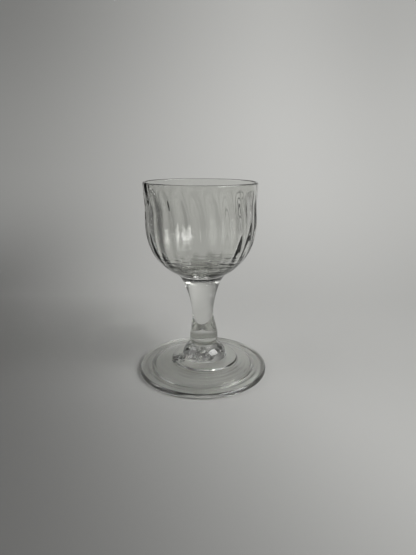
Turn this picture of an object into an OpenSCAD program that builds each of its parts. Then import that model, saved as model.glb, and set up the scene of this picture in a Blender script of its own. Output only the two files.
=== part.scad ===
// Stemmed dram glass, free blown from soda glass.
// Four gathers of hot glass are fused one on the next: a foot with its edge folded under,
// a domed collar, a waisted stem and a bowl that was blown in a ribbed mould and then turned a little.
// Millimetres, +Z up. The origin is the middle of the foot, on the table.

/* [Foot] */
// Diameter of the foot
foot_d = 70; // [60:0.5:80]
// Height of the pad in the middle of the foot, where the collar sits
foot_h = 8; // [7:0.1:9]
// Diameter of the boss, the raised middle of the foot
boss_d = 36.6; // [30:0.2:42]
// Fall of the foot's upper face from the pad to the edge of the boss
boss_fall = 1.1; // [0.5:0.1:1.6]
// Width of the step around the boss
step_w = 2; // [1:0.1:3]
// Height of that step
step_h = 1.1; // [0.5:0.1:1.6]
// Thickness of the rim, where the edge is folded under
rim_t = 3.4; // [2.8:0.1:4.2]
// Height of the rim's bead above the dip just inside it
bead_h = 0.35; // [0.2:0.05:0.9]
// Distance from the edge of the foot to the bottom of that dip
dip_w = 6.5; // [5:0.1:9]
// Width of the fold, from the edge of the foot inwards
fold_w = 8; // [6:0.1:11]
// Width of the flat ring that the glass stands on
stand_w = 2; // [1:0.1:3]
// Radius of the fold's rounded inner edge
fold_edge_r = 0.7; // [0.4:0.05:0.8]
// Height of that edge above the table
fold_lift = 0.2; // [0.1:0.05:0.3]
// Thickness of the single glass just inside the fold
plate_t = 1.6; // [1.3:0.1:2]
// Height of the hollow under the middle of the foot
kick_h = 5.2; // [4:0.1:5.8]
// Diameter of the scar where the pontil rod was broken off
pontil_d = 18; // [8:0.5:22]
// Depth of that scar
pontil_depth = 0.6; // [0.3:0.1:1]

/* [Collar] */
// Diameter of the collar where it sits on the foot
collar_d = 24; // [20:0.2:28]
// Width of the skirt by which the collar spreads on the foot
skirt_w = 1.2; // [0.5:0.1:2]
// Height of that skirt
skirt_h = 2.5; // [1:0.1:3]
// Height of the collar, from the foot to the edge of the stem's seat
collar_h = 7.5; // [6:0.1:10]

/* [Stem] */
// Length of the stem that shows, from the collar to the bowl
stem_h = 38.5; // [30:0.5:60]
// Diameter of the stem where it meets the collar
stem_foot_d = 14.4; // [12:0.1:17]
// Diameter of the swelling just above the collar
swell_d = 14.8; // [13:0.1:18]
// Height of the swelling above the collar
swell_h = 2.4; // [1.5:0.1:5]
// Diameter of the stem at its waist
waist_d = 11.2; // [9:0.1:12.5]
// Height of the waist above the collar
waist_h = 16; // [12:0.1:20]
// Depth of the stem's rounded end in the collar
tang_depth = 3; // [1.5:0.1:4]

/* [Bowl] */
// Diameter of the seat that joins the bowl to the stem
seat_d = 26; // [20:0.2:30]
// Depth to which the underside of the bowl sits in the stem
cup_depth = 2.5; // [1.5:0.1:4]
// Height of the bowl above its seat
bowl_h = 46; // [43:0.5:60]
// Outside diameter at the belly, halfway up the ribs
belly_d = 55.9; // [50:0.1:62]
// Height of the belly above the seat
belly_h = 26; // [22:0.5:30]
// Outside diameter at the throat, under the lip
throat_d = 54.1; // [48:0.1:60]
// Height of the throat above the seat
throat_h = 39; // [36:0.5:41]
// Outside diameter of the lip
lip_d = 56.4; // [50:0.1:62]
// Thickness of the lip
lip_t = 1.4; // [1:0.1:2]
// Thickness of the wall from the belly to the throat
wall_t = 1.8; // [1.4:0.1:2.4]
// Depth of the inside, from the lip
bowl_depth = 45; // [40:0.5:46]

/* [Ribs] */
// Number of moulded ribs
rib_count = 24; // [16:1:28]
// Height of a rib, from groove to crest
rib_rise = 0.5; // [0.2:0.05:0.8]
// Turn of the ribs between the belly and their tops, in degrees
rib_twist = 9; // [0:1:20]
// Plain height between the edge of the lip and the tops of the ribs
rib_gap = 2.5; // [1:0.1:6]
// Height over which a rib fades out at its top
rib_top_fade = 5; // [3:0.5:8]
// Height over which a rib fades out at its foot
rib_low_fade = 12; // [4:0.5:16]

/* [Hidden] */
$fn = 96;

// Glass as it looks when it is seen against grey
clear_glass = [0.80, 0.84, 0.83, 0.45];
// How far a cutting shape runs past the glass that it cuts
overrun = 1;

// Radii of the driving diameters
foot_r = foot_d / 2;
pontil_r = pontil_d / 2;
collar_r = collar_d / 2;
stem_foot_r = stem_foot_d / 2;
swell_r = swell_d / 2;
waist_r = waist_d / 2;
seat_r = seat_d / 2;
belly_r = belly_d / 2;
throat_r = throat_d / 2;
lip_r = lip_d / 2;

// Levels of the joints above the table
collar_z = foot_h;
stem_z = collar_z + collar_h;
bowl_z = stem_z + stem_h;

// Points along each curved stretch of an outline
curve_steps = 16;
round_steps = 8;
cap_steps = 5;

// 0 to 1 with a level start and end
function ease(t) = (1 - cos(180 * t)) / 2;
function blend(a, b, t) = a + (b - a) * t;
function clamp01(t) = max(0, min(1, t));
// Points at even steps of t from 0 to 1, both ends included
function even(n) = [for (i = [0:n]) i / n];
// Points of a circle's arc, from angle a0 to angle a1
function arc(centre, r, a0, a1, n) =
    [for (t = even(n)) centre + r * [cos(blend(a0, a1, t)), sin(blend(a0, a1, t))]];
// Radius of the sphere whose cap is r wide at its edge and h high
function cap_radius(r, h) = (r * r + h * h) / (2 * h);
// Outline of a bulge below the level z, from the axis out to its edge
function cap_below(r, h, z) =
    let (big = cap_radius(r, h), edge = asin(r / big))
    [for (t = even(cap_steps)) [big * sin(edge * t), z - h + big * (1 - cos(edge * t))]];
function reversed(list) = [for (i = [len(list) - 1:-1:0]) list[i]];

// Foot: the upper face falls gently over the boss, drops over its step, runs out to the dip
// and rises again to the bead
rim_r = rim_t / 2;
shoulder_r = foot_r - rim_r;
fold_inner_r = foot_r - fold_w;
boss_r = boss_d / 2;
boss_z = foot_h - boss_fall;
step_r = boss_r + step_w;
step_z = boss_z - step_h;
skirt_bend = 1.4;
dip_r = foot_r - dip_w;
dip_z = rim_t - bead_h;
function foot_top(r) =
    r < boss_r ? blend(foot_h, boss_z, (r - collar_r) / (boss_r - collar_r))
    : r < step_r ? blend(boss_z, step_z, ease((r - boss_r) / step_w))
    : r < dip_r ? blend(dip_z, step_z, pow(1 - (r - step_r) / (dip_r - step_r), skirt_bend))
    : blend(dip_z, rim_t, ease((r - dip_r) / (shoulder_r - dip_r)));
plate_under = foot_top(fold_inner_r) - plate_t;
kick_rise = kick_h - plate_under;
function foot_under(r) = plate_under + kick_rise * (1 - pow(r / fold_inner_r, 2));

module foot() {
    step = [for (t = even(round_steps)) let (r = blend(boss_r, step_r, t)) [r, foot_top(r)]];
    slope = [for (t = even(curve_steps)) if (t > 0) let (r = blend(step_r, dip_r, t)) [r, foot_top(r)]];
    bead = [for (t = even(round_steps)) if (t > 0) let (r = blend(dip_r, shoulder_r, t)) [r, foot_top(r)]];
    rim = arc([shoulder_r, rim_r], rim_r, 90, -90, 2 * round_steps);
    fold_centre = [fold_inner_r + fold_edge_r, fold_lift + fold_edge_r];
    fold_edge = arc(fold_centre, fold_edge_r, 270, 180, round_steps);
    hollow = [for (t = even(curve_steps)) let (r = blend(fold_inner_r, pontil_r, t)) [r, foot_under(r)]];
    scar_z = foot_under(pontil_r);
    scar = [for (p = cap_below(pontil_r, pontil_depth, 0)) [p[0], scar_z - p[1]]];
    color(clear_glass)
        rotate_extrude()
            polygon(concat(
                [[0, foot_h], [collar_r, foot_h]], step, slope, bead,
                [for (p = rim) if (p[0] > shoulder_r || p[1] < rim_r) p],
                [[shoulder_r - stand_w, 0]], fold_edge, hollow, reversed(scar)));
}

// Collar: a dome that narrows from the foot's pad to the edge of the stem's seat, with a skirt at its base
dome_r = collar_r - skirt_w;
dome_h = collar_h / sqrt(1 - pow(stem_foot_r / dome_r, 2));
function collar_at(z) = dome_r * sqrt(1 - pow(z / dome_h, 2)) + skirt_w * pow(max(0, 1 - z / skirt_h), 2);

module collar() {
    levels = concat(
        [for (t = even(round_steps)) skirt_h * t],
        [for (t = even(curve_steps)) if (t > 0) blend(skirt_h, collar_h, sin(90 * t))]);
    side = [for (z = levels) [collar_at(z), collar_z + z]];
    seat = reversed(cap_below(stem_foot_r, tang_depth, stem_z));
    color(clear_glass)
        rotate_extrude()
            polygon(concat([[0, collar_z]], side, seat));
}

// Stem: swells above the collar, draws in to the waist and flares to the bowl's seat
flare_bend = 1.7;
flare_kick = 0.2;
flare_kick_bend = 8;
function flare(t) = (1 - flare_kick) * pow(t, flare_bend) + flare_kick * pow(t, flare_kick_bend);
function stem_at(z) =
    z < swell_h ? blend(stem_foot_r, swell_r, sin(90 * z / swell_h))
    : z < waist_h ? blend(swell_r, waist_r, ease((z - swell_h) / (waist_h - swell_h)))
    : blend(waist_r, seat_r, flare((z - waist_h) / (stem_h - waist_h)));

module stem() {
    levels = concat(
        [for (t = even(round_steps)) swell_h * t],
        [for (t = even(curve_steps)) if (t > 0) blend(swell_h, waist_h, t)],
        [for (t = even(2 * curve_steps)) if (t > 0) blend(waist_h, stem_h, t)]);
    side = [for (z = levels) [stem_at(z), stem_z + z]];
    color(clear_glass)
        rotate_extrude()
            polygon(concat(
                cap_below(stem_foot_r, tang_depth, stem_z), side,
                reversed(cap_below(seat_r, cup_depth, bowl_z))));
}

// Bowl: an ellipse from the seat to the belly, a slight throat and a lip that turns out
ellipse_h = belly_h / sqrt(1 - pow(seat_r / belly_r, 2));
function bowl_at(z) =
    z < belly_h ? belly_r * sqrt(1 - pow((belly_h - z) / ellipse_h, 2))
    : z < throat_h ? blend(belly_r, throat_r, ease((z - belly_h) / (throat_h - belly_h)))
    : blend(throat_r, lip_r, ease((z - throat_h) / (lip_z - throat_h)));
lip_round = lip_t / 2;
lip_z = bowl_h - lip_round;

// A rib is as high as this share of its rise: it fades in above the seat and out below the lip
rib_top = bowl_h - rib_gap;
function rib_share(z) = ease(clamp01(z / rib_low_fade)) * ease(clamp01((rib_top - z) / rib_top_fade));
// The ribs run straight up to the belly and turn more and more above it
function rib_turn(z) = -rib_twist * pow(clamp01((z - belly_h) / (rib_top - belly_h)), 2);

// The outside of the bowl as rings of points, each turned with the twist of the ribs
points_per_rib = 6;
ring_count = rib_count * points_per_rib;
first_angle = asin(belly_h / ellipse_h);
lower_rings = 8;
upper_rings = 6;
flare_rings = 6;
lip_rings = 4;
side_levels = concat(
    [for (t = even(lower_rings)) belly_h - ellipse_h * sin(first_angle * (1 - t))],
    [for (t = even(upper_rings)) if (t > 0) blend(belly_h, throat_h, t)],
    [for (t = even(flare_rings)) if (t > 0) blend(throat_h, lip_z, t)]);
lip_arc = arc([lip_r - lip_round, lip_z], lip_round, 0, 90, lip_rings);
function rib_point(r, z, i) =
    let (a = 360 * i / ring_count,
         ribbed = r - rib_share(z) * rib_rise * (1 - cos(rib_count * a)) / 2,
         turned = a + rib_turn(z))
    [ribbed * cos(turned), ribbed * sin(turned), bowl_z + z];
function ring(r, z) = [for (i = [0:ring_count - 1]) rib_point(r, z, i)];

// Closed skin over a stack of rings that all have n points, with flat ends
function ring_skin(rings, n) = concat(
    [[for (i = [0:n - 1]) i]],
    [for (j = [0:rings - 2], i = [0:n - 1], half = [0, 1])
        let (a = j * n + i, b = j * n + (i + 1) % n)
        half == 0 ? [a, a + n, b] : [b, a + n, b + n]],
    [[for (i = [n - 1:-1:0]) (rings - 1) * n + i]]);

module ribbed_blank() {
    underside = cap_below(seat_r, cup_depth, 0);
    rings = concat(
        [for (i = [1:len(underside) - 2]) ring(underside[i][0], underside[i][1])],
        [for (z = side_levels) ring(bowl_at(z), z)],
        [for (p = lip_arc) if (p[1] > lip_z) ring(p[0], p[1])]);
    polyhedron(points = [for (points = rings, p = points) p], faces = ring_skin(len(rings), ring_count));
}

// Inside of the bowl: a half ellipse below the belly, then a wall of even thickness up to the lip
inside_z = bowl_h - bowl_depth;
inside_belly_r = belly_r - rib_rise - wall_t;
inside_h = belly_h - inside_z;
mouth_angle = 65;
function inside_at(z) =
    z < throat_h ? blend(inside_belly_r, throat_r - wall_t, ease((z - belly_h) / (throat_h - belly_h)))
    : blend(throat_r - wall_t, lip_r - lip_t, ease((z - throat_h) / (lip_z - throat_h)));

module bowl_cavity() {
    low = [for (t = even(curve_steps)) [inside_belly_r * sin(90 * t), belly_h - inside_h * cos(90 * t)]];
    high = [for (t = even(curve_steps)) if (t > 0) let (z = blend(belly_h, lip_z, t)) [inside_at(z), z]];
    mouth = arc([lip_r - lip_round, lip_z], lip_round, 180, 180 - mouth_angle, round_steps);
    brink = mouth[round_steps] + overrun * [sin(mouth_angle), cos(mouth_angle)];
    translate([0, 0, bowl_z])
        rotate_extrude()
            polygon(concat(low, high, [for (i = [1:round_steps]) mouth[i]],
                [brink, [brink[0], bowl_h + 2 * overrun], [0, bowl_h + 2 * overrun]]));
}

module bowl() {
    color(clear_glass)
        difference() {
            ribbed_blank();
            bowl_cavity();
        }
}

foot();
collar();
stem();
bowl();
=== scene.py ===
import math

import bpy
from mathutils import Matrix, Vector


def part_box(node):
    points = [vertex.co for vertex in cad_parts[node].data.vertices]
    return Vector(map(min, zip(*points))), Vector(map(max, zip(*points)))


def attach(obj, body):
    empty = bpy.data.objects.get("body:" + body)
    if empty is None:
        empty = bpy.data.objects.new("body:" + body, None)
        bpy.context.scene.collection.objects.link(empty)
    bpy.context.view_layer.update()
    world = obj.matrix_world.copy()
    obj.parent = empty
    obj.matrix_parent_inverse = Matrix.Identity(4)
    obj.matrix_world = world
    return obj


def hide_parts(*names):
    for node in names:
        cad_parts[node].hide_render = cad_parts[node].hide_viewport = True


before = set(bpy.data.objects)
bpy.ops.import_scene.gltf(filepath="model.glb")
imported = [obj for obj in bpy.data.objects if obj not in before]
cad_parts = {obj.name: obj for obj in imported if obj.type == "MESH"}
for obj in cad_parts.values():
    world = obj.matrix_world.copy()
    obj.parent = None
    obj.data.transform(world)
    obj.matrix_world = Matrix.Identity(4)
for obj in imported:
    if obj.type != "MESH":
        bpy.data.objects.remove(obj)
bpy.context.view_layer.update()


# Bowl: clear, faintly green glass, blown in a ribbed mould and then further, until the ribs went soft.
# The maker turned it a little before it set, which swept the upper ends of the ribs sideways.
# The lip is turned out and fire polished, and the thick bottom sits fused in the top of the stem.
MM = 0.001  # sizes are in millimetres here, and in metres in the scene
bowl_low, bowl_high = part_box("bowl")
lip_r = bowl_high.x / MM
lip_z = bowl_high.z / MM
lip_round = 0.7
lip_oval = 0.04
lip_forward = 0.5
throat_r = 27.35
throat_z = 89.5
belly_r = 27.76
belly_z = 80.0
low_fill = 4.5
seat_r = 13.0
seat_z = 54.0
cup_z = bowl_low.z / MM
RIBS = 24
crest_rise = 0.46
crest_gain = 0.36
crest_fade = 4.5
flank_fall = 0.06
groove_fall = 0.52
groove_fade = 14.0
rib_low = 57.0
rib_low_fade = 14.0
rib_top = 97.5
rib_turn = math.radians(6.5)
rib_uneven = 0.15
uneven_step = 2.4
wall = 1.45
inside_belly_r = belly_r - groove_fall - wall
inside_belly_z = 85.0
inside_flare_z = 85.0
inside_z = 55.0
inside_fill = 10.0
inside_off = -0.7
inside_off_fade = 12.0
inside_rise = 0.09
inside_flank_rise = 0.036
inside_fade = 14.0
pinch = 1.3
pinch_column = 57
PINCH_SHARES = ((-1, 0.3), (0, -1.0), (1, 0.3))


def ease(t):
    t = min(1.0, max(0.0, t))
    return (1 - math.cos(math.pi * t)) / 2


def ease_between(start, end, t):
    return start + (end - start) * ease(t)


def bowl_outside(z):
    if z < belly_z:
        tall = (belly_z - seat_z) / math.sqrt(1 - (seat_r / belly_r) ** 2)
        t = (z - seat_z) / (belly_z - seat_z)
        return belly_r * math.sqrt(1 - ((belly_z - z) / tall) ** 2) + low_fill * t * (1 - t) ** 3
    if z < throat_z:
        return ease_between(belly_r, throat_r, (z - belly_z) / (throat_z - belly_z))
    return ease_between(throat_r, lip_r, (z - throat_z) / (lip_z - lip_round - throat_z))


def bowl_inside(z):
    up = (z - inside_flare_z) / (lip_z - inside_flare_z)
    return ease_between(inside_belly_r, lip_r - 2 * lip_round, up)


def bowl_hollow(angle):
    deep = math.cos(math.radians(angle))
    return (inside_belly_r * math.sin(math.radians(angle)) + inside_fill * (1 - deep) * deep ** 3,
            inside_belly_z - (inside_belly_z - inside_z) * deep)


def cap_below(edge_r, low_z, edge_z, radii):
    rise = edge_z - low_z
    ball = (edge_r ** 2 + rise ** 2) / (2 * rise)
    return [(r, low_z + ball - math.sqrt(ball ** 2 - r ** 2)) for r in radii]


CAGE_PASSES = 60


# Rounding off pulls each point of a cage a third of the way to the middle of its two neighbours.
# So the points are moved out until the rounded surface passes through the stations.
def cage_through(stations, held):
    points = [list(station) for station in stations]
    for _ in range(CAGE_PASSES):
        for i in range(1, len(points) - 1):
            if i in held:
                continue
            for axis in (0, 1):
                lies = (points[i - 1][axis] + 4 * points[i][axis] + points[i + 1][axis]) / 6
                points[i][axis] += stations[i][axis] - lies
    return points


merge_gap = 0.001


def lathe(name, outline, steps):
    bpy.ops.object.select_all(action="DESELECT")
    bpy.ops.mesh.primitive_plane_add(size=MM)
    piece = bpy.context.object
    piece.name = piece.data.name = name
    bpy.ops.object.mode_set(mode="EDIT")
    bpy.ops.mesh.merge(type="CENTER")
    bpy.ops.transform.translate(value=(outline[0][0] * MM, 0, outline[0][1] * MM))
    for (r0, z0), (r1, z1) in zip(outline, outline[1:]):
        bpy.ops.mesh.extrude_vertices_move(
            TRANSFORM_OT_translate={"value": ((r1 - r0) * MM, 0, (z1 - z0) * MM)})
    bpy.ops.mesh.select_all(action="SELECT")
    bpy.ops.mesh.spin(steps=steps, angle=2 * math.pi, center=(0, 0, 0), axis=(0, 0, 1))
    bpy.ops.mesh.select_all(action="SELECT")
    bpy.ops.mesh.remove_doubles(threshold=merge_gap * MM)
    bpy.ops.mesh.normals_make_consistent(inside=False)
    bpy.ops.object.mode_set(mode="OBJECT")
    return piece


ring_slack = 0.02
seam_slack = 0.01


def angle_of(vertex):
    return (math.atan2(vertex.co.y, vertex.co.x) + seam_slack) % (2 * math.pi)


def rings_of(piece, outline):
    rings = []
    for r, z in outline:
        ring = [v for v in piece.data.vertices
                if abs(math.hypot(v.co.x, v.co.y) - r * MM) < ring_slack * MM
                and abs(v.co.z - z * MM) < ring_slack * MM]
        rings.append([v.index for v in sorted(ring, key=angle_of)])
    return rings


def pick(piece, chosen):
    bpy.ops.object.mode_set(mode="EDIT")
    bpy.ops.mesh.select_mode(type="VERT")
    bpy.ops.mesh.select_all(action="DESELECT")
    bpy.ops.object.mode_set(mode="OBJECT")
    for index in chosen:
        piece.data.vertices[index].select = True
    bpy.ops.object.mode_set(mode="EDIT")


def crease(piece, ring):
    pick(piece, ring)
    bpy.ops.transform.edge_crease(value=1)
    bpy.ops.mesh.mark_sharp()


def swell(size):
    bpy.ops.transform.resize(value=(size, size, 1), center_override=(0, 0, 0))


def shift(piece, ring, x):
    pick(piece, ring)
    bpy.ops.transform.translate(value=(x * MM, 0, 0))


# How far the middle of the glass lies to the right at each height: it was finished by eye and leans.
LEAN = ((8, 1.3), (12, 1.2), (15.5, 0.9), (22, 0.95), (35, 0.2), (54, -0.2), (61, -0.75), (80, -0.6),
        (93, -0.85), (100, -0.9))


def along(table, at):
    for (at0, value0), (at1, value1) in zip(table, table[1:]):
        if at <= at1:
            return ease_between(value0, value1, (at - at0) / (at1 - at0))
    return table[-1][1]


ROUNDINGS = 2
sharp_angle = math.radians(50)


def round_off(piece):
    bpy.ops.object.mode_set(mode="OBJECT")
    smooth = piece.modifiers.new("round", "SUBSURF")
    smooth.levels = smooth.render_levels = ROUNDINGS
    bpy.ops.object.select_all(action="DESELECT")
    piece.select_set(True)
    bpy.context.view_layer.objects.active = piece
    bpy.ops.object.modifier_apply(modifier=smooth.name)
    bpy.ops.object.shade_smooth_by_angle(angle=sharp_angle)


def hand_waves(piece, width, height, share):
    group = piece.vertex_groups.new(name="waves")
    for v in piece.data.vertices:
        group.add([v.index], share(v.co / MM), "REPLACE")
    clouds = bpy.data.textures.new("waves", "CLOUDS")
    clouds.noise_scale = width * MM
    push = piece.modifiers.new("waves", "DISPLACE")
    push.texture = clouds
    push.texture_coords = "LOCAL"
    push.strength = height * MM
    push.vertex_group = group.name
    bpy.ops.object.modifier_apply(modifier=push.name)
    piece.vertex_groups.clear()


SEED_DRAWN = 1.4
SEED_ROUNDINGS = 2


def blow_seeds(piece, seeds, drawn=SEED_DRAWN):
    made = []
    for place, r in seeds:
        bpy.ops.object.select_all(action="DESELECT")
        bpy.ops.mesh.primitive_ico_sphere_add(
            subdivisions=SEED_ROUNDINGS, radius=r * MM, location=Vector(place) * MM)
        bpy.ops.object.transform_apply(location=True)
        bpy.ops.object.shade_smooth()
        bpy.ops.object.mode_set(mode="EDIT")
        bpy.ops.mesh.select_all(action="SELECT")
        bpy.ops.transform.resize(value=(1, 1, drawn), center_override=Vector(place) * MM)
        bpy.ops.mesh.flip_normals()
        bpy.ops.object.mode_set(mode="OBJECT")
        if piece.data.materials:
            bpy.context.object.data.materials.append(piece.data.materials[0])
        made.append(bpy.context.object)
    for seed in made:
        seed.select_set(True)
    piece.select_set(True)
    bpy.context.view_layer.objects.active = piece
    bpy.ops.object.join()


CUP_RADII = (0, 4, 8, 11, seat_r)
SIDE_HEIGHTS = (1.3, 3.2, 6, 10, 15, 20.5, 26, 31, 35.5, 39, 41.5, 43.3, 44.4)
LIP_ANGLES = (0, 45, 90, 135, 180)
INSIDE_LEVELS = (98.2, 96.5, 93.5, 89.5, 87.3)
HOLLOW_ANGLES = (90, 75, 62, 50, 38, 27, 17, 8, 0)
underside = cap_below(seat_r, cup_z, seat_z, CUP_RADII)
outside = [(bowl_outside(seat_z + h), seat_z + h) for h in SIDE_HEIGHTS]
lip = [(lip_r - lip_round + lip_round * math.cos(math.radians(a)),
        lip_z - lip_round + lip_round * math.sin(math.radians(a))) for a in LIP_ANGLES]
inside = [(bowl_inside(z), z) for z in INSIDE_LEVELS] + [bowl_hollow(a) for a in HOLLOW_ANGLES]
bowl_seat = len(underside) - 1
bowl_cage = cage_through(underside + outside + lip + inside, held=(bowl_seat,))
PER_RIB = 4
bowl = lathe("bowl_blown", bowl_cage, RIBS * PER_RIB)
bowl_rings = list(zip(rings_of(bowl, bowl_cage), bowl_cage))
crease(bowl, bowl_rings[bowl_seat][0])
CREST, FLANKS, GROOVE = (0,), (1, 3), (2,)


def rib_share(z, top_fade):
    return ease((z - rib_low) / rib_low_fade) * ease((rib_top - z) / top_fade)


def press_ribs(rings, pushes):
    for ring, (r, z) in rings:
        for columns, push, top_fade in pushes:
            if push > 0:
                push *= 1 + crest_gain * ease((z - belly_z) / (throat_z - belly_z))
            pick(bowl, [index for column in columns for index in ring[column::PER_RIB]])
            swell(1 + push * rib_share(z, top_fade) / r)


first_outside = bowl_seat + 1
first_lip = first_outside + len(outside)
first_inside = first_lip + len(lip)
press_ribs(bowl_rings[first_outside:first_lip], (
    (CREST, crest_rise, crest_fade),
    (FLANKS, -flank_fall, groove_fade),
    (GROOVE, -groove_fall, groove_fade)))
press_ribs(bowl_rings[first_inside:-1], (
    (CREST, -inside_rise, inside_fade),
    (FLANKS, -inside_flank_rise, inside_fade)))
UNEVEN_FROM, UNEVEN_TO = 3, 10
PINCH_FROM = 9
uneven_rings = bowl_rings[first_outside + UNEVEN_FROM:first_outside + UNEVEN_TO]
pinched_rings = bowl_rings[first_outside + PINCH_FROM:first_lip + 1]
for rib in range(RIBS):
    pick(bowl, [ring[rib * PER_RIB] for ring, point in uneven_rings])
    swell(1 + rib_uneven * math.sin(uneven_step * rib * rib) / belly_r)
for ring, (r, z) in pinched_rings:
    for beside, share in PINCH_SHARES:
        pick(bowl, [ring[pinch_column + beside]])
        swell(1 + share * pinch / r)
for ring, (r, z) in bowl_rings[first_inside:]:
    shift(bowl, ring, inside_off * ease((belly_z - z) / inside_off_fade))
for ring, (r, z) in bowl_rings:
    turned = min(1.0, max(0.0, (z - belly_z) / (rib_top - belly_z)))
    lipward = ease((z - throat_z) / (lip_z - throat_z))
    pick(bowl, ring)
    bpy.ops.transform.rotate(value=rib_turn * turned ** 2, orient_axis="Z", center_override=(0, 0, 0))
    bpy.ops.transform.resize(value=(1, 1 - lip_oval * lipward, 1), center_override=(0, 0, 0))
    bpy.ops.transform.translate(value=(0, -lip_forward * lipward * MM, 0))
    shift(bowl, ring, along(LEAN, z))
round_off(bowl)
bowl_wave_w = 9.0
bowl_wave_h = 0.16
bowl_wave_low = 57.0
bowl_wave_top = 98.0
bowl_wave_fade = 6.0


def bowl_wave_share(at):
    return ease((at.z - bowl_wave_low) / bowl_wave_fade) * ease((bowl_wave_top - at.z) / bowl_wave_fade)


hand_waves(bowl, bowl_wave_w, bowl_wave_h, bowl_wave_share)
BOWL_SEEDS = (((-5.0, -23.2, 66.0), 0.22), ((9.5, -24.6, 76.0), 0.14), ((-17.0, 16.5, 66.5), 0.2),
              ((6.0, 25.5, 86.0), 0.16), ((-3.5, 2.0, 53.0), 0.2), ((5.0, -4.0, 53.2), 0.25))
LIP_SEEDS = (((-22.4, -16.1, 96.3), 0.4), ((-23.6, -14.4, 97.2), 0.34), ((-21.2, -17.2, 95.4), 0.3))
LIP_SEED_DRAWN = 1.6
blow_seeds(bowl, BOWL_SEEDS)
blow_seeds(bowl, LIP_SEEDS, LIP_SEED_DRAWN)
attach(bowl, "root")
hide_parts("bowl")


class Value:
    """A socket of a material. Arithmetic on it adds Math nodes."""

    def __init__(self, tree, socket):
        self.tree = tree
        self.socket = socket

    def make(self, kind, settings=None, inputs=None, output=0):
        node = self.tree.nodes.new(kind)
        for name, setting in (settings or {}).items():
            setattr(node, name, setting)
        for name, given in (inputs or {}).items():
            if isinstance(given, Value):
                self.tree.links.new(given.socket, node.inputs[name])
            else:
                node.inputs[name].default_value = given
        return Value(self.tree, node.outputs[output])

    def maths(self, operation, first, second):
        return self.make("ShaderNodeMath", {"operation": operation}, {0: first, 1: second})

    def __add__(self, other):
        return self.maths("ADD", self, other)

    def __mul__(self, other):
        return self.maths("MULTIPLY", self, other)

    def __sub__(self, other):
        return self.maths("SUBTRACT", self, other)

    def __rsub__(self, other):
        return self.maths("SUBTRACT", other, self)

    __radd__ = __add__
    __rmul__ = __mul__


def object_place(tree):
    return Value(tree, tree.nodes.new("ShaderNodeTexCoord").outputs["Object"])


def part_of(place, axis):
    return place.make("ShaderNodeSeparateXYZ", None, {0: place}, axis)


def across_rings(place):
    flat = place.make("ShaderNodeVectorMath", {"operation": "MULTIPLY"}, {0: place, 1: (1, 1, 0)})
    out = place.make("ShaderNodeVectorMath", {"operation": "LENGTH"}, {0: flat}, "Value")
    return out, part_of(place, "Z")


def moved(place, x):
    return place.make("ShaderNodeVectorMath", {"operation": "SUBTRACT"}, {0: place, 1: (x * MM, 0.0, 0.0)})


def fade(length, start, end, low=0.0, high=1.0):
    return length.make("ShaderNodeMapRange", {"interpolation_type": "SMOOTHSTEP"}, {
        "Value": length, "From Min": start * MM, "From Max": end * MM, "To Min": low, "To Max": high})


def noise(place, scale, detail, distortion=0.0):
    return place.make("ShaderNodeTexNoise", None, {
        "Vector": place, "Scale": scale, "Detail": detail, "Distortion": distortion})


MIX_FACTOR, MIX_FIRST, MIX_SECOND, MIX_COLOUR = 0, 6, 7, 2


def mix(factor, first, second):
    return factor.make("ShaderNodeMix", {"data_type": "RGBA"}, {
        MIX_FACTOR: factor, MIX_FIRST: first, MIX_SECOND: second}, MIX_COLOUR)


def bare_material(name):
    material = bpy.data.materials.new(name)
    material.use_nodes = True
    material.node_tree.nodes.clear()
    return material


def set_surface(tree, socket):
    out = tree.nodes.new("ShaderNodeOutputMaterial")
    tree.links.new(socket, out.inputs["Surface"])


GREENISH = (0.885, 0.890, 0.865, 1)
NEARLY_CLEAR = (0.925, 0.928, 0.910, 1)
# The grey that painted shade mixes into the glass colour.
SHADE_GREY = (0.22, 0.23, 0.20, 1)
glass_ior = 1.51
mark_depth = 0.1
smear_start = 0.52
smear_full = 0.75
smear_roughness = 0.06


def clear_glass(name, marks, painted_shade=None, roughness=None):
    material = bare_material(name)
    place = object_place(material.node_tree)
    tint = mix(noise(place, scale=60.0, detail=2.0, distortion=1.2), GREENISH, NEARLY_CLEAR)
    # Where a painted-shade mask is given, the tint is darkened towards the shade grey.
    if painted_shade:
        tint = mix(painted_shade(place), tint, SHADE_GREY)
    if roughness is None:
        smudges = noise(place, scale=90.0, detail=3.0, distortion=0.6)
        roughness = place.make("ShaderNodeMapRange", None, {
            "Value": smudges, "From Min": smear_start, "From Max": smear_full,
            "To Min": 0.0, "To Max": smear_roughness})
    bump = place.make("ShaderNodeBump", None, {
        "Height": marks(place), "Strength": 1.0, "Distance": mark_depth * MM})
    glass = place.make("ShaderNodeBsdfPrincipled", None, {
        "Base Color": tint, "Roughness": roughness, "IOR": glass_ior, "Transmission Weight": 1.0,
        "Normal": bump})
    set_surface(material.node_tree, glass.socket)
    return material


def fused_join(name):
    material = bare_material(name)
    see_through = material.node_tree.nodes.new("ShaderNodeBsdfTransparent")
    set_surface(material.node_tree, see_through.outputs[0])
    return material


ripple_depth = 0.5


def soft_ripple(place):
    return noise(place, scale=130.0, detail=1.0) * ripple_depth


def drawn_lines(place, squeeze, scale, detail):
    upright = place.make("ShaderNodeMapping", None, {"Vector": place, "Scale": (1.0, 1.0, squeeze)})
    return noise(upright, scale, detail)


def ring_lines(place, drift, scale):
    out, level = across_rings(place)
    rings = place.make("ShaderNodeCombineXYZ", None, {0: out, 1: level, 2: 0.0})
    drifting = place.make("ShaderNodeVectorMath", {"operation": "SCALE"}, {0: place, "Scale": drift})
    return noise(place.make("ShaderNodeVectorMath", None, {0: rings, 1: drifting}), scale, detail=2.0)


STRIAE_LEVELS = (72.0, 63.0)
striae_depth = 1.9
bowl_drawn_depth = 0.35


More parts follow.
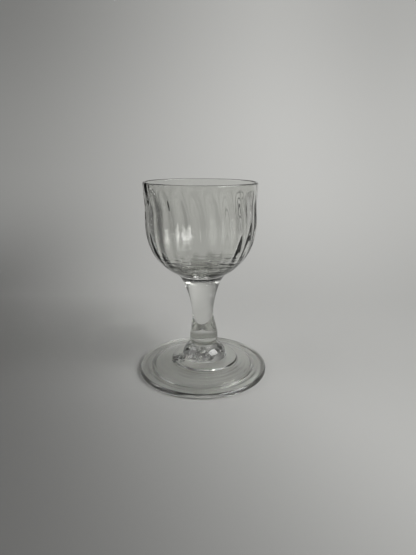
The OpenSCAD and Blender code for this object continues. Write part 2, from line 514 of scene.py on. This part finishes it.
def bowl_marks(place):
    low = fade(part_of(place, "Z"), *STRIAE_LEVELS)
    striae = ring_lines(place, drift=0.18, scale=800.0)
    drawn = drawn_lines(place, squeeze=0.1, scale=450.0, detail=1.0)
    return soft_ripple(place) + striae * low * striae_depth + drawn * bowl_drawn_depth


bottom_shade_depth = 0.76
bottom_shade_x = 5.0
BOTTOM_SHADE_LEVELS = (61.0, 55.0)
BOTTOM_SHADE_RADII = (16.0, 12.0)
SEAT_SHADE_LEVELS = (60.5, 57.5)
SEAT_SHADE_RADII = (16.3, 17.3)
SEAT_SHADE_FRONT = (0.0, -10.0)


# Painted shade: the bottom of the bowl is darkened round a point 5 mm right of the middle, and the outside
# just above the seat is darkened on its front half.
def bowl_painted_shade(place):
    out, level = across_rings(place)
    out_from_shade = across_rings(moved(place, bottom_shade_x))[0]
    bottom_shade = fade(level, *BOTTOM_SHADE_LEVELS, 0.0, bottom_shade_depth) * fade(out_from_shade, *BOTTOM_SHADE_RADII)
    seat_shade = fade(level, *SEAT_SHADE_LEVELS) * fade(out, *SEAT_SHADE_RADII)
    return bottom_shade + seat_shade * fade(part_of(place, "Y"), *SEAT_SHADE_FRONT)


bowl_glass = clear_glass("bowl_clear_glass", bowl_marks, bowl_painted_shade)
fused = fused_join("fused_join")
CLEAR, FUSED = 0, 1


def finish_faces(piece, glass, on_join):
    piece.data.materials.append(glass)
    piece.data.materials.append(fused)
    for face in piece.data.polygons:
        face.material_index = FUSED if on_join(face) else CLEAR


cup_slope = 0.5


def under_seat(face):
    return face.normal.z < -cup_slope and face.center.z < seat_z * MM


finish_faces(bowl, bowl_glass, under_seat)


# Stem: a drop of the same glass, stuck on under the bowl and drawn out while it was hot.
# It flares to cup the bowl, draws in to a waist and swells again above the collar.
# Its rounded lower end is sunk in the collar.
tang_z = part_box("stem")[0].z / MM
stem_foot_r = 6.7
stem_foot_z = 15.5
stem_swell_r = 7.5
stem_swell_z = 18.2
waist_r = 5.6
waist_z = 31.5
flare_kick = 0.2
flare_bend = 1.7
flare_kick_bend = 8
STEM_STEPS = 64
JOIN_GAP = 0.003
TANG_RADII = (0, 2.5, 5, stem_foot_r)
STEM_LEVELS = (15.9, 16.5, 17.3, 18.4, 19.6, 21.5, 24.5, 28, 31.5, 35.5, 40, 44, 47.5, 50.2, 52.2, 53.4)


def stem_outside(z):
    if z < stem_swell_z:
        turn = math.pi / 2 * (z - stem_foot_z) / (stem_swell_z - stem_foot_z)
        return stem_foot_r + (stem_swell_r - stem_foot_r) * math.sin(turn)
    if z < waist_z:
        return ease_between(stem_swell_r, waist_r, (z - stem_swell_z) / (waist_z - stem_swell_z))
    t = (z - waist_z) / (seat_z - waist_z)
    flare = (1 - flare_kick) * t ** flare_bend + flare_kick * t ** flare_kick_bend
    return waist_r + (seat_r - waist_r) * flare


stem_tang = cap_below(stem_foot_r, tang_z, stem_foot_z, TANG_RADII)
stem_side = [(stem_outside(z), z) for z in STEM_LEVELS]
stem_cup = cap_below(seat_r, cup_z - JOIN_GAP, seat_z - JOIN_GAP, CUP_RADII[::-1])
stem_low_edge = len(stem_tang) - 1
stem_rim = len(stem_tang) + len(stem_side)
stem_cage = cage_through(stem_tang + stem_side + stem_cup, held=(stem_low_edge, stem_rim))
stem = lathe("stem_drawn", stem_cage, STEM_STEPS)
stem_rings = rings_of(stem, stem_cage)
crease(stem, stem_rings[stem_low_edge])
crease(stem, stem_rings[stem_rim])
for ring, (r, z) in zip(stem_rings, stem_cage):
    shift(stem, ring, along(LEAN, z))
round_off(stem)
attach(stem, "root")
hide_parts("stem")


def stem_join(face):
    z = face.center.z / MM
    return z < stem_foot_z or (face.normal.z > cup_slope and z > waist_z)


stem_drawn_depth = 0.2
STEM_SHADE_LEVELS = (18.8, 16.8)


def stem_marks(place):
    drawn = drawn_lines(place, squeeze=0.12, scale=420.0, detail=2.0)
    return soft_ripple(place) + drawn * stem_drawn_depth


# Painted shade: the stem is darkened towards its lower end, where it sinks into the collar.
def stem_painted_shade(place):
    return fade(part_of(place, "Z"), *STEM_SHADE_LEVELS)


finish_faces(stem, clear_glass("stem_clear_glass", stem_marks, stem_painted_shade), stem_join)


# Collar: a wad of hot glass dropped on the foot, into which the end of the stem was pressed.
# It domes up around the stem, wavy as the hand left it, and traps a ring of seeds along the join.
collar_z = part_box("collar")[0].z / MM
collar_r = 12.0
collar_h = stem_foot_z - collar_z
skirt_w = 0.3
skirt_h = 1.2
dome_r = collar_r - skirt_w
dome_bulge = 2.0
dome_h = collar_h / (1 - (stem_foot_r / dome_r) ** dome_bulge) ** (1 / dome_bulge)
COLLAR_STEPS = 64
COLLAR_RADII = (0, 4.5, 8.5, collar_r)
COLLAR_HEIGHTS = (0.35, 0.9, 1.8, 3.0, 4.3, 5.6, 6.7)


def collar_outside(h):
    dome = dome_r * (1 - (h / dome_h) ** dome_bulge) ** (1 / dome_bulge)
    return dome + skirt_w * max(0, 1 - h / skirt_h) ** 2


collar_bottom = [(r, collar_z) for r in COLLAR_RADII]
collar_side = [(collar_outside(h), collar_z + h) for h in COLLAR_HEIGHTS]
collar_seat = cap_below(stem_foot_r, tang_z - JOIN_GAP, stem_foot_z - JOIN_GAP, TANG_RADII[::-1])
collar_base = len(collar_bottom) - 1
collar_brim = len(collar_bottom) + len(collar_side)
collar_cage = cage_through(collar_bottom + collar_side + collar_seat, held=(collar_base, collar_brim))
collar = lathe("collar_wad", collar_cage, COLLAR_STEPS)
collar_rings = rings_of(collar, collar_cage)
crease(collar, collar_rings[collar_base])
crease(collar, collar_rings[collar_brim])
for ring, (r, z) in zip(collar_rings, collar_cage):
    shift(collar, ring, along(LEAN, z))
round_off(collar)
stem_end_x = along(LEAN, stem_foot_z)
collar_wave_w = 4.0
collar_wave_h = 0.3
collar_wave_margin = 0.3
collar_wave_fade = 1.5
collar_wave_brim = 1.0


def collar_wave_share(at):
    above = ease((at.z - collar_z - collar_wave_margin) / collar_wave_fade)
    below = ease((stem_foot_z - collar_wave_margin - at.z) / collar_wave_fade)
    return above * below * ease((math.hypot(at.x - stem_end_x, at.y) - stem_foot_r) / collar_wave_brim)


hand_waves(collar, collar_wave_w, collar_wave_h, collar_wave_share)
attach(collar, "root")
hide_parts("collar")
base_slope = 0.9


def collar_join(face):
    in_seat = math.hypot(face.center.x - stem_end_x * MM, face.center.y) / MM < stem_foot_r
    below_brim = face.center.z < stem_foot_z * MM
    return face.normal.z < -base_slope or (in_seat and below_brim and face.normal.z > 0)


collar_shade_depth = 0.25
COLLAR_SHADE_LEVELS = (10.0, 14.0)


def plain_marks(place):
    return noise(place, scale=150.0, detail=2.0)


# Painted shade: the upper part of the collar is darkened round the sunk end of the stem.
def collar_painted_shade(place):
    return fade(part_of(place, "Z"), *COLLAR_SHADE_LEVELS, 0.0, collar_shade_depth)


finish_faces(collar, clear_glass("collar_clear_glass", plain_marks, collar_painted_shade), collar_join)
SEEDS = 40
FRONT_SEEDS = 34
front_seed_start = -160
front_seed_step = 3.6
back_seed_step = 60
seed_ring_r = 5.6
seed_ring_sway = 0.3
seed_sway_step = 2.4
seed_ring_z = 11.4
seed_ring_wave = 0.35
seed_wave_step = 1.7
least_seed_r = 0.24
seed_r_spread = 0.14
seed_r_step = 3.1
seed_ring = []
for seed in range(SEEDS):
    if seed < FRONT_SEEDS:
        seed_angle = math.radians(front_seed_start + front_seed_step * seed)
    else:
        seed_angle = math.radians(back_seed_step * seed)
    seed_out = seed_ring_r + seed_ring_sway * math.sin(seed_sway_step * seed)
    seed_place = (along(LEAN, seed_ring_z) + seed_out * math.cos(seed_angle),
                  seed_out * math.sin(seed_angle),
                  seed_ring_z + seed_ring_wave * math.sin(seed_wave_step * seed))
    seed_ring.append((seed_place, least_seed_r + seed_r_spread * math.sin(seed_r_step * seed) ** 2))
blow_seeds(collar, seed_ring)


# Foot: a drop of glass spread into a disc against a wet board, with its edge folded back underneath.
# The fold makes the thick rim, and the collar is fused to the flat pad on top.
# The middle is hollow below, with the broken scar of the rod that held the glass.
rim_inset = 0.6
foot_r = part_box("foot")[1].x / MM - rim_inset
foot_h = collar_z - JOIN_GAP
boss_r = 17.2
boss_z = 6.9
step_w = 0.45
step_z = 6.15
step_r = boss_r + step_w
cone_bend = 1.05
ripple_h = 0.05
ripple_w = 2.4
rim_t = 2.7
rim_low = 1.0
rim_w = 1.3
shoulder_r = foot_r - rim_w
dip_w = 3.6
dip_r = foot_r - dip_w
bead_h = 0.35
dip_z = rim_t - bead_h
stand_w = 2.0
fold_w = 7.4
fold_r = foot_r - fold_w
fold_end = 1.5
plate_t = 1.3
kick_h = 5.2
scar_r = 10.0
FOOT_STEPS = 72


def foot_top(r):
    if r < boss_r:
        return foot_h + (boss_z - foot_h) * (r - collar_r) / (boss_r - collar_r)
    if r < step_r:
        return boss_z + (step_z - boss_z) * (r - boss_r) / step_w
    ripple = ripple_h * math.cos(2 * math.pi * (r - boss_r) / ripple_w)
    ripple *= ease((r - boss_r - step_w) / ripple_w)
    if r < dip_r:
        down = (r - boss_r - step_w) / (dip_r - boss_r - step_w)
        return ripple + dip_z + (step_z - dip_z) * (1 - down) ** cone_bend
    bead = bead_h * ease((r - dip_r) / (shoulder_r - dip_r))
    return ripple * ease((shoulder_r - r) / ripple_w) + dip_z + bead


under_z = foot_top(fold_r) - plate_t


def foot_under(r):
    return under_z + (kick_h - under_z) * (1 - (r / fold_r) ** 2)


def foot_edge(angle):
    height = rim_t - rim_low if angle > 0 else rim_low
    return (shoulder_r + rim_w * math.cos(math.radians(angle)),
            rim_low + height * math.sin(math.radians(angle)))


PAD_RADII = (0, 4.5, 8.0, collar_r)
BOSS_RADII = (12.5, 13.6, 15.0, 16.3, 16.8, 17.05, 17.2, 17.42, 17.65, 17.8, 18.1, 18.6, 19.3)
CONE_RINGS = 20
cone_first_r = 20.0
cone_ring_w = 0.65
RIM_ANGLES = (80, 60, 40, 20, 0, -30, -60)
FOLD_LOWER_CURVE = ((2.2, 0.04), (0.9, 0.1), (0.3, 0.32), (0.08, 0.7), (0, 1.1))
FOLD_UPPER_CURVE = ((0.1, 0.65), (0.35, 0.3), (0.8, 0.08))
HOLLOW_RADII = (24.5, 22.5, 18.5, 14.5, 12.0, 11.0, 10.4)
SCAR_DISH = ((scar_r, 0), (9.0, 0.12), (7.6, 0.25), (6.0, 0.4), (4.2, 0.5), (2.2, 0.57), (0, 0.6))
scar_z = foot_under(scar_r)
foot_pad = [(r, foot_h) for r in PAD_RADII]
foot_upper = [(r, foot_top(r)) for r in BOSS_RADII]
foot_upper += [(r, foot_top(r)) for r in (cone_first_r + cone_ring_w * i for i in range(CONE_RINGS))]
foot_rim = [foot_edge(a) for a in RIM_ANGLES]
foot_fold = [(shoulder_r, 0), (shoulder_r - stand_w, 0)]
foot_fold += [(fold_r + outward, z) for outward, z in FOLD_LOWER_CURVE]
foot_fold += [(fold_r - inward, under_z - below) for inward, below in FOLD_UPPER_CURVE]
foot_fold += [(fold_r - fold_end, foot_under(fold_r - fold_end))]
foot_hollow = [(r, foot_under(r)) for r in HOLLOW_RADII]
foot_scar = [(r, scar_z + rise) for r, rise in SCAR_DISH]
pad_edge = len(foot_pad) - 1
first_under = len(foot_pad) + len(foot_upper) + len(foot_rim)
foot_outline = foot_pad + foot_upper + foot_rim + foot_fold + foot_hollow + foot_scar
foot_cage = cage_through(foot_outline, held=(pad_edge,))
foot = lathe("foot_folded", foot_cage, FOOT_STEPS)
foot_rings = rings_of(foot, foot_cage)
crease(foot, foot_rings[pad_edge])
TOP_LEAN = ((12, 1.3), (17.2, 1.5), (28, 0.55), (31, 0.45))
UNDER_LEAN = ((10, -1.0), (21, 0.3), (27, 0.45))
for number, (ring, (r, z)) in enumerate(zip(foot_rings, foot_cage)):
    shift(foot, ring, along(TOP_LEAN if number < first_under else UNDER_LEAN, r))
round_off(foot)
scar_x = along(UNDER_LEAN, 0)
broken_r = 6.0
broken_fade = 1.5
broken_w = 1.5
broken_h = 2.4
broken_top = scar_z + 1.2
TOOL_MARK = (-11.8, -5.0)
tool_mark_r = 5.2
tool_mark_fade = 2.5
tool_mark_low = 5.6
tool_mark_w = 1.5
tool_mark_h = 2.6
mark_edge = 0.4
foot_wave_w = 11.0
foot_wave_h = 0.14
foot_wave_start_r = 14.0
foot_wave_start_fade = 4.0
foot_wave_end_r = 33.5
foot_wave_end_fade = 2.0
foot_wave_low = 1.2
foot_wave_low_fade = 1.0


def broken_share(at):
    return (ease((broken_r - math.hypot(at.x - scar_x, at.y)) / broken_fade)
            * ease((broken_top - at.z) / mark_edge))


def tool_mark_share(at):
    return (ease((tool_mark_r - math.dist(at.xy, TOOL_MARK)) / tool_mark_fade)
            * ease((at.z - tool_mark_low) / mark_edge))


def foot_wave_share(at):
    out = math.hypot(at.x, at.y)
    return (ease((out - foot_wave_start_r) / foot_wave_start_fade)
            * ease((foot_wave_end_r - out) / foot_wave_end_fade)
            * ease((at.z - foot_wave_low) / foot_wave_low_fade))


hand_waves(foot, broken_w, broken_h, broken_share)
hand_waves(foot, tool_mark_w, tool_mark_h, tool_mark_share)
hand_waves(foot, foot_wave_w, foot_wave_h, foot_wave_share)
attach(foot, "root")
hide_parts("foot")
pad_slope = 0.99
pad_slack = 0.05


def foot_join(face):
    r = math.hypot(face.center.x - along(LEAN, collar_z) * MM, face.center.y) / MM
    return r < collar_r and face.normal.z > pad_slope and face.center.z > (foot_h - pad_slack) * MM


spread_depth = 0.35
boss_x = 1.5
crease_shade_depth = 0.7
CREASE_START, CREASE_END = (17.1, 17.4), (17.5, 17.9)
fold_shade_depth = 0.14
FOLD_START, FOLD_END = (25.0, 26.7), (27.5, 29.0)
TOP_START = (2.2, 2.6)


def spread_marks(place):
    return soft_ripple(place) + ring_lines(place, drift=0.15, scale=600.0) * spread_depth


# Painted shade on the top of the foot: a dark ring along the step at the edge of the boss and a fainter one
# inside the fold.
def foot_painted_shade(place):
    out, level = across_rings(moved(place, boss_x))
    crease_shade = fade(out, *CREASE_START, 0.0, crease_shade_depth) * fade(out, *CREASE_END, 1.0, 0.0)
    fold_shade = fade(out, *FOLD_START, 0.0, fold_shade_depth) * fade(out, *FOLD_END, 1.0, 0.0)
    return (crease_shade + fold_shade) * fade(level, *TOP_START)


finish_faces(foot, clear_glass("foot_clear_glass", spread_marks, foot_painted_shade), foot_join)
BROKEN, WORN = 2, 3
broken_roughness = 0.12
worn_roughness = 0.2
foot.data.materials.append(clear_glass("foot_broken_glass", plain_marks, None, broken_roughness))
foot.data.materials.append(clear_glass("foot_worn_glass", plain_marks, None, worn_roughness))
broken_low = scar_z - 0.5
worn_r = shoulder_r - stand_w
worn_h = 0.05
for face in foot.data.polygons:
    in_scar = math.hypot(face.center.x - scar_x * MM, face.center.y) / MM < broken_r
    faces_down = face.center.z > broken_low * MM and face.normal.z < 0
    if in_scar and faces_down and face.material_index == CLEAR:
        face.material_index = BROKEN
    if math.hypot(face.center.x, face.center.y) > worn_r * MM and face.center.z < worn_h * MM:
        face.material_index = WORN


# Sweep: a wide sheet of grey paper that the glass stands on, curved up behind it without a crease.
# Its grey is painted lighter on the right, where the window is, with a painted shadow across the floor to
# the left and front, and painted falloff towards its far sides and its top.
SWEEP_SIDE = 1.3
SWEEP_WIDER = 2.0
SWEEP_RISE = 1.2
SWEEP_FLAT = 0.10
SWEEP_BEND = 0.45
SWEEP_BELOW = 0.00005
SWEEP_SEGMENTS = 32
bpy.ops.object.select_all(action="DESELECT")
bpy.ops.mesh.primitive_plane_add(
    size=SWEEP_SIDE, location=(0, SWEEP_FLAT + SWEEP_BEND - SWEEP_SIDE / 2, -SWEEP_BELOW))
bpy.ops.object.transform_apply(location=True)
bpy.ops.transform.resize(value=(SWEEP_WIDER, 1, 1), center_override=(0, 0, 0))
bpy.ops.object.transform_apply(scale=True)
sweep = bpy.context.object
sweep.name = "paper_sweep"


def pick_back_edge():
    bpy.ops.object.mode_set(mode="EDIT")
    bpy.ops.mesh.select_mode(type="EDGE")
    bpy.ops.mesh.select_all(action="DESELECT")
    bpy.ops.object.mode_set(mode="OBJECT")
    for edge in sweep.data.edges:
        ends = [sweep.data.vertices[i].co for i in edge.vertices]
        edge.select = all(co.y > SWEEP_FLAT and co.z < MM for co in ends)
    bpy.ops.object.mode_set(mode="EDIT")


pick_back_edge()
bpy.ops.mesh.extrude_region_move(TRANSFORM_OT_translate={"value": (0, 0, SWEEP_RISE)})
bpy.ops.object.mode_set(mode="OBJECT")
pick_back_edge()
bpy.ops.mesh.bevel(offset=SWEEP_BEND, segments=SWEEP_SEGMENTS, profile=0.5)
bpy.ops.object.mode_set(mode="OBJECT")
bpy.ops.object.shade_smooth()
# Painted light and shade in the paper's grey: a soft shadow darkens the floor to the left and front, the
# wall darkens to the left and high up, and both fall off to the sides.
FLOOR_SPAN, FLOOR_GREYS = (-145, 50), (0.155, 0.48)
WALL_SPAN, WALL_GREYS = (-360, 100), (0.315, 0.56)
WALL_RISE, WALL_FALL = (120, 360), (0.0, 0.06)
TOP_RISE, TOP_FALL = (400, 620), (0.0, 0.40)
RIGHT_SPAN, RIGHT_FALL = (80, 300), (0.0, 0.10)
FAR_RIGHT_SPAN, FAR_RIGHT_FALL = (300, 650), (0.0, 0.30)
FAR_LEFT_SPAN, FAR_LEFT_FALL = (-300, -800), (0.0, 0.2)
CURVE_SPAN = (80, 380)
near_reach = 120
near_share = 0.6
least_grey = 0.05
warmth = 0.97
paper = bpy.data.materials.new("grey_paper")
paper.use_nodes = True
paper_tree = paper.node_tree
paper_shader = paper_tree.nodes["Principled BSDF"]
paper_place = object_place(paper_tree)
across = part_of(paper_place, "X")
back = part_of(paper_place, "Y")
height = part_of(paper_place, "Z")
near = back.maths("MINIMUM", back, near_reach * MM)
painted_floor_shadow = fade(across + near * near_share, *FLOOR_SPAN, *FLOOR_GREYS)
painted_wall_light = fade(across, *WALL_SPAN, *WALL_GREYS)
painted_wall_light = painted_wall_light - fade(height, *WALL_RISE, *WALL_FALL) - fade(height, *TOP_RISE, *TOP_FALL)
on_wall = fade(back, *CURVE_SPAN)
painted_side_falloff = fade(across, *RIGHT_SPAN, *RIGHT_FALL) + fade(across, *FAR_RIGHT_SPAN, *FAR_RIGHT_FALL)
painted_side_falloff = painted_side_falloff + fade(across, *FAR_LEFT_SPAN, *FAR_LEFT_FALL)
grey = painted_floor_shadow + (painted_wall_light - painted_floor_shadow) * on_wall - painted_side_falloff
grey = grey.maths("MAXIMUM", grey, least_grey)
paper_grey = paper_place.make("ShaderNodeCombineColor", None, {0: grey, 1: grey, 2: grey * warmth})
paper_tree.links.new(paper_grey.socket, paper_shader.inputs["Base Color"])
paper_shader.inputs["Roughness"].default_value = 0.9
paper_shader.inputs["Specular IOR Level"].default_value = 0.1
sweep.data.materials.append(paper)


# Light: daylight from one large window, to the right of the camera and above it.
# A dim wall on the left gives some of it back, and the rest of the room is an even grey.
LIGHT_AIM = (0, 0, 0.06)
ROOM_GREY = (0.2, 0.2, 0.2, 1)


def soft_light(name, place, size, watts):
    lamp = bpy.data.lights.new(name, "AREA")
    lamp.shape = "RECTANGLE"
    lamp.size, lamp.size_y = size
    lamp.energy = watts
    holder = bpy.data.objects.new(name, lamp)
    bpy.context.scene.collection.objects.link(holder)
    holder.location = place
    holder.rotation_euler = (Vector(place) - Vector(LIGHT_AIM)).to_track_quat("Z", "Y").to_euler()


soft_light("window", place=(0.89, -0.475, 0.80), size=(1.0, 0.75), watts=17.2)
soft_light("dim_wall", place=(-1.05, -0.2, 0.70), size=(0.9, 0.9), watts=4)
world = bpy.data.worlds.new("room")
bpy.context.scene.world = world
world.use_nodes = True
world.node_tree.nodes["Background"].inputs["Color"].default_value = ROOM_GREY


# Camera: held close in front of the glass and a little above its lip, looking down at it.
# Light passes through many walls of the glass before it gets there, so rays may bend often.
CAMERA_PLACE = (0.00304, -0.2158, 0.1138)
camera_pitch = 16.22
camera_roll = 0.29
GLASS_BOUNCES = 48
JOIN_BOUNCES = 32
camera_data = bpy.data.cameras.new("camera")
camera_data.lens = 27.96
camera_data.sensor_width = 36
camera_data.clip_start = 0.01
camera = bpy.data.objects.new("camera", camera_data)
bpy.context.scene.collection.objects.link(camera)
camera.matrix_world = (Matrix.Translation(CAMERA_PLACE)
                       @ Matrix.Rotation(math.radians(90 - camera_pitch), 4, "X")
                       @ Matrix.Rotation(math.radians(camera_roll), 4, "Z"))
scene = bpy.context.scene
scene.camera = camera
scene.view_settings.view_transform = "Standard"
scene.cycles.max_bounces = GLASS_BOUNCES
scene.cycles.transmission_bounces = GLASS_BOUNCES
scene.cycles.transparent_max_bounces = JOIN_BOUNCES
scene.cycles.caustics_refractive = True
scene.cycles.caustics_reflective = True
scene.cycles.blur_glossy = 0
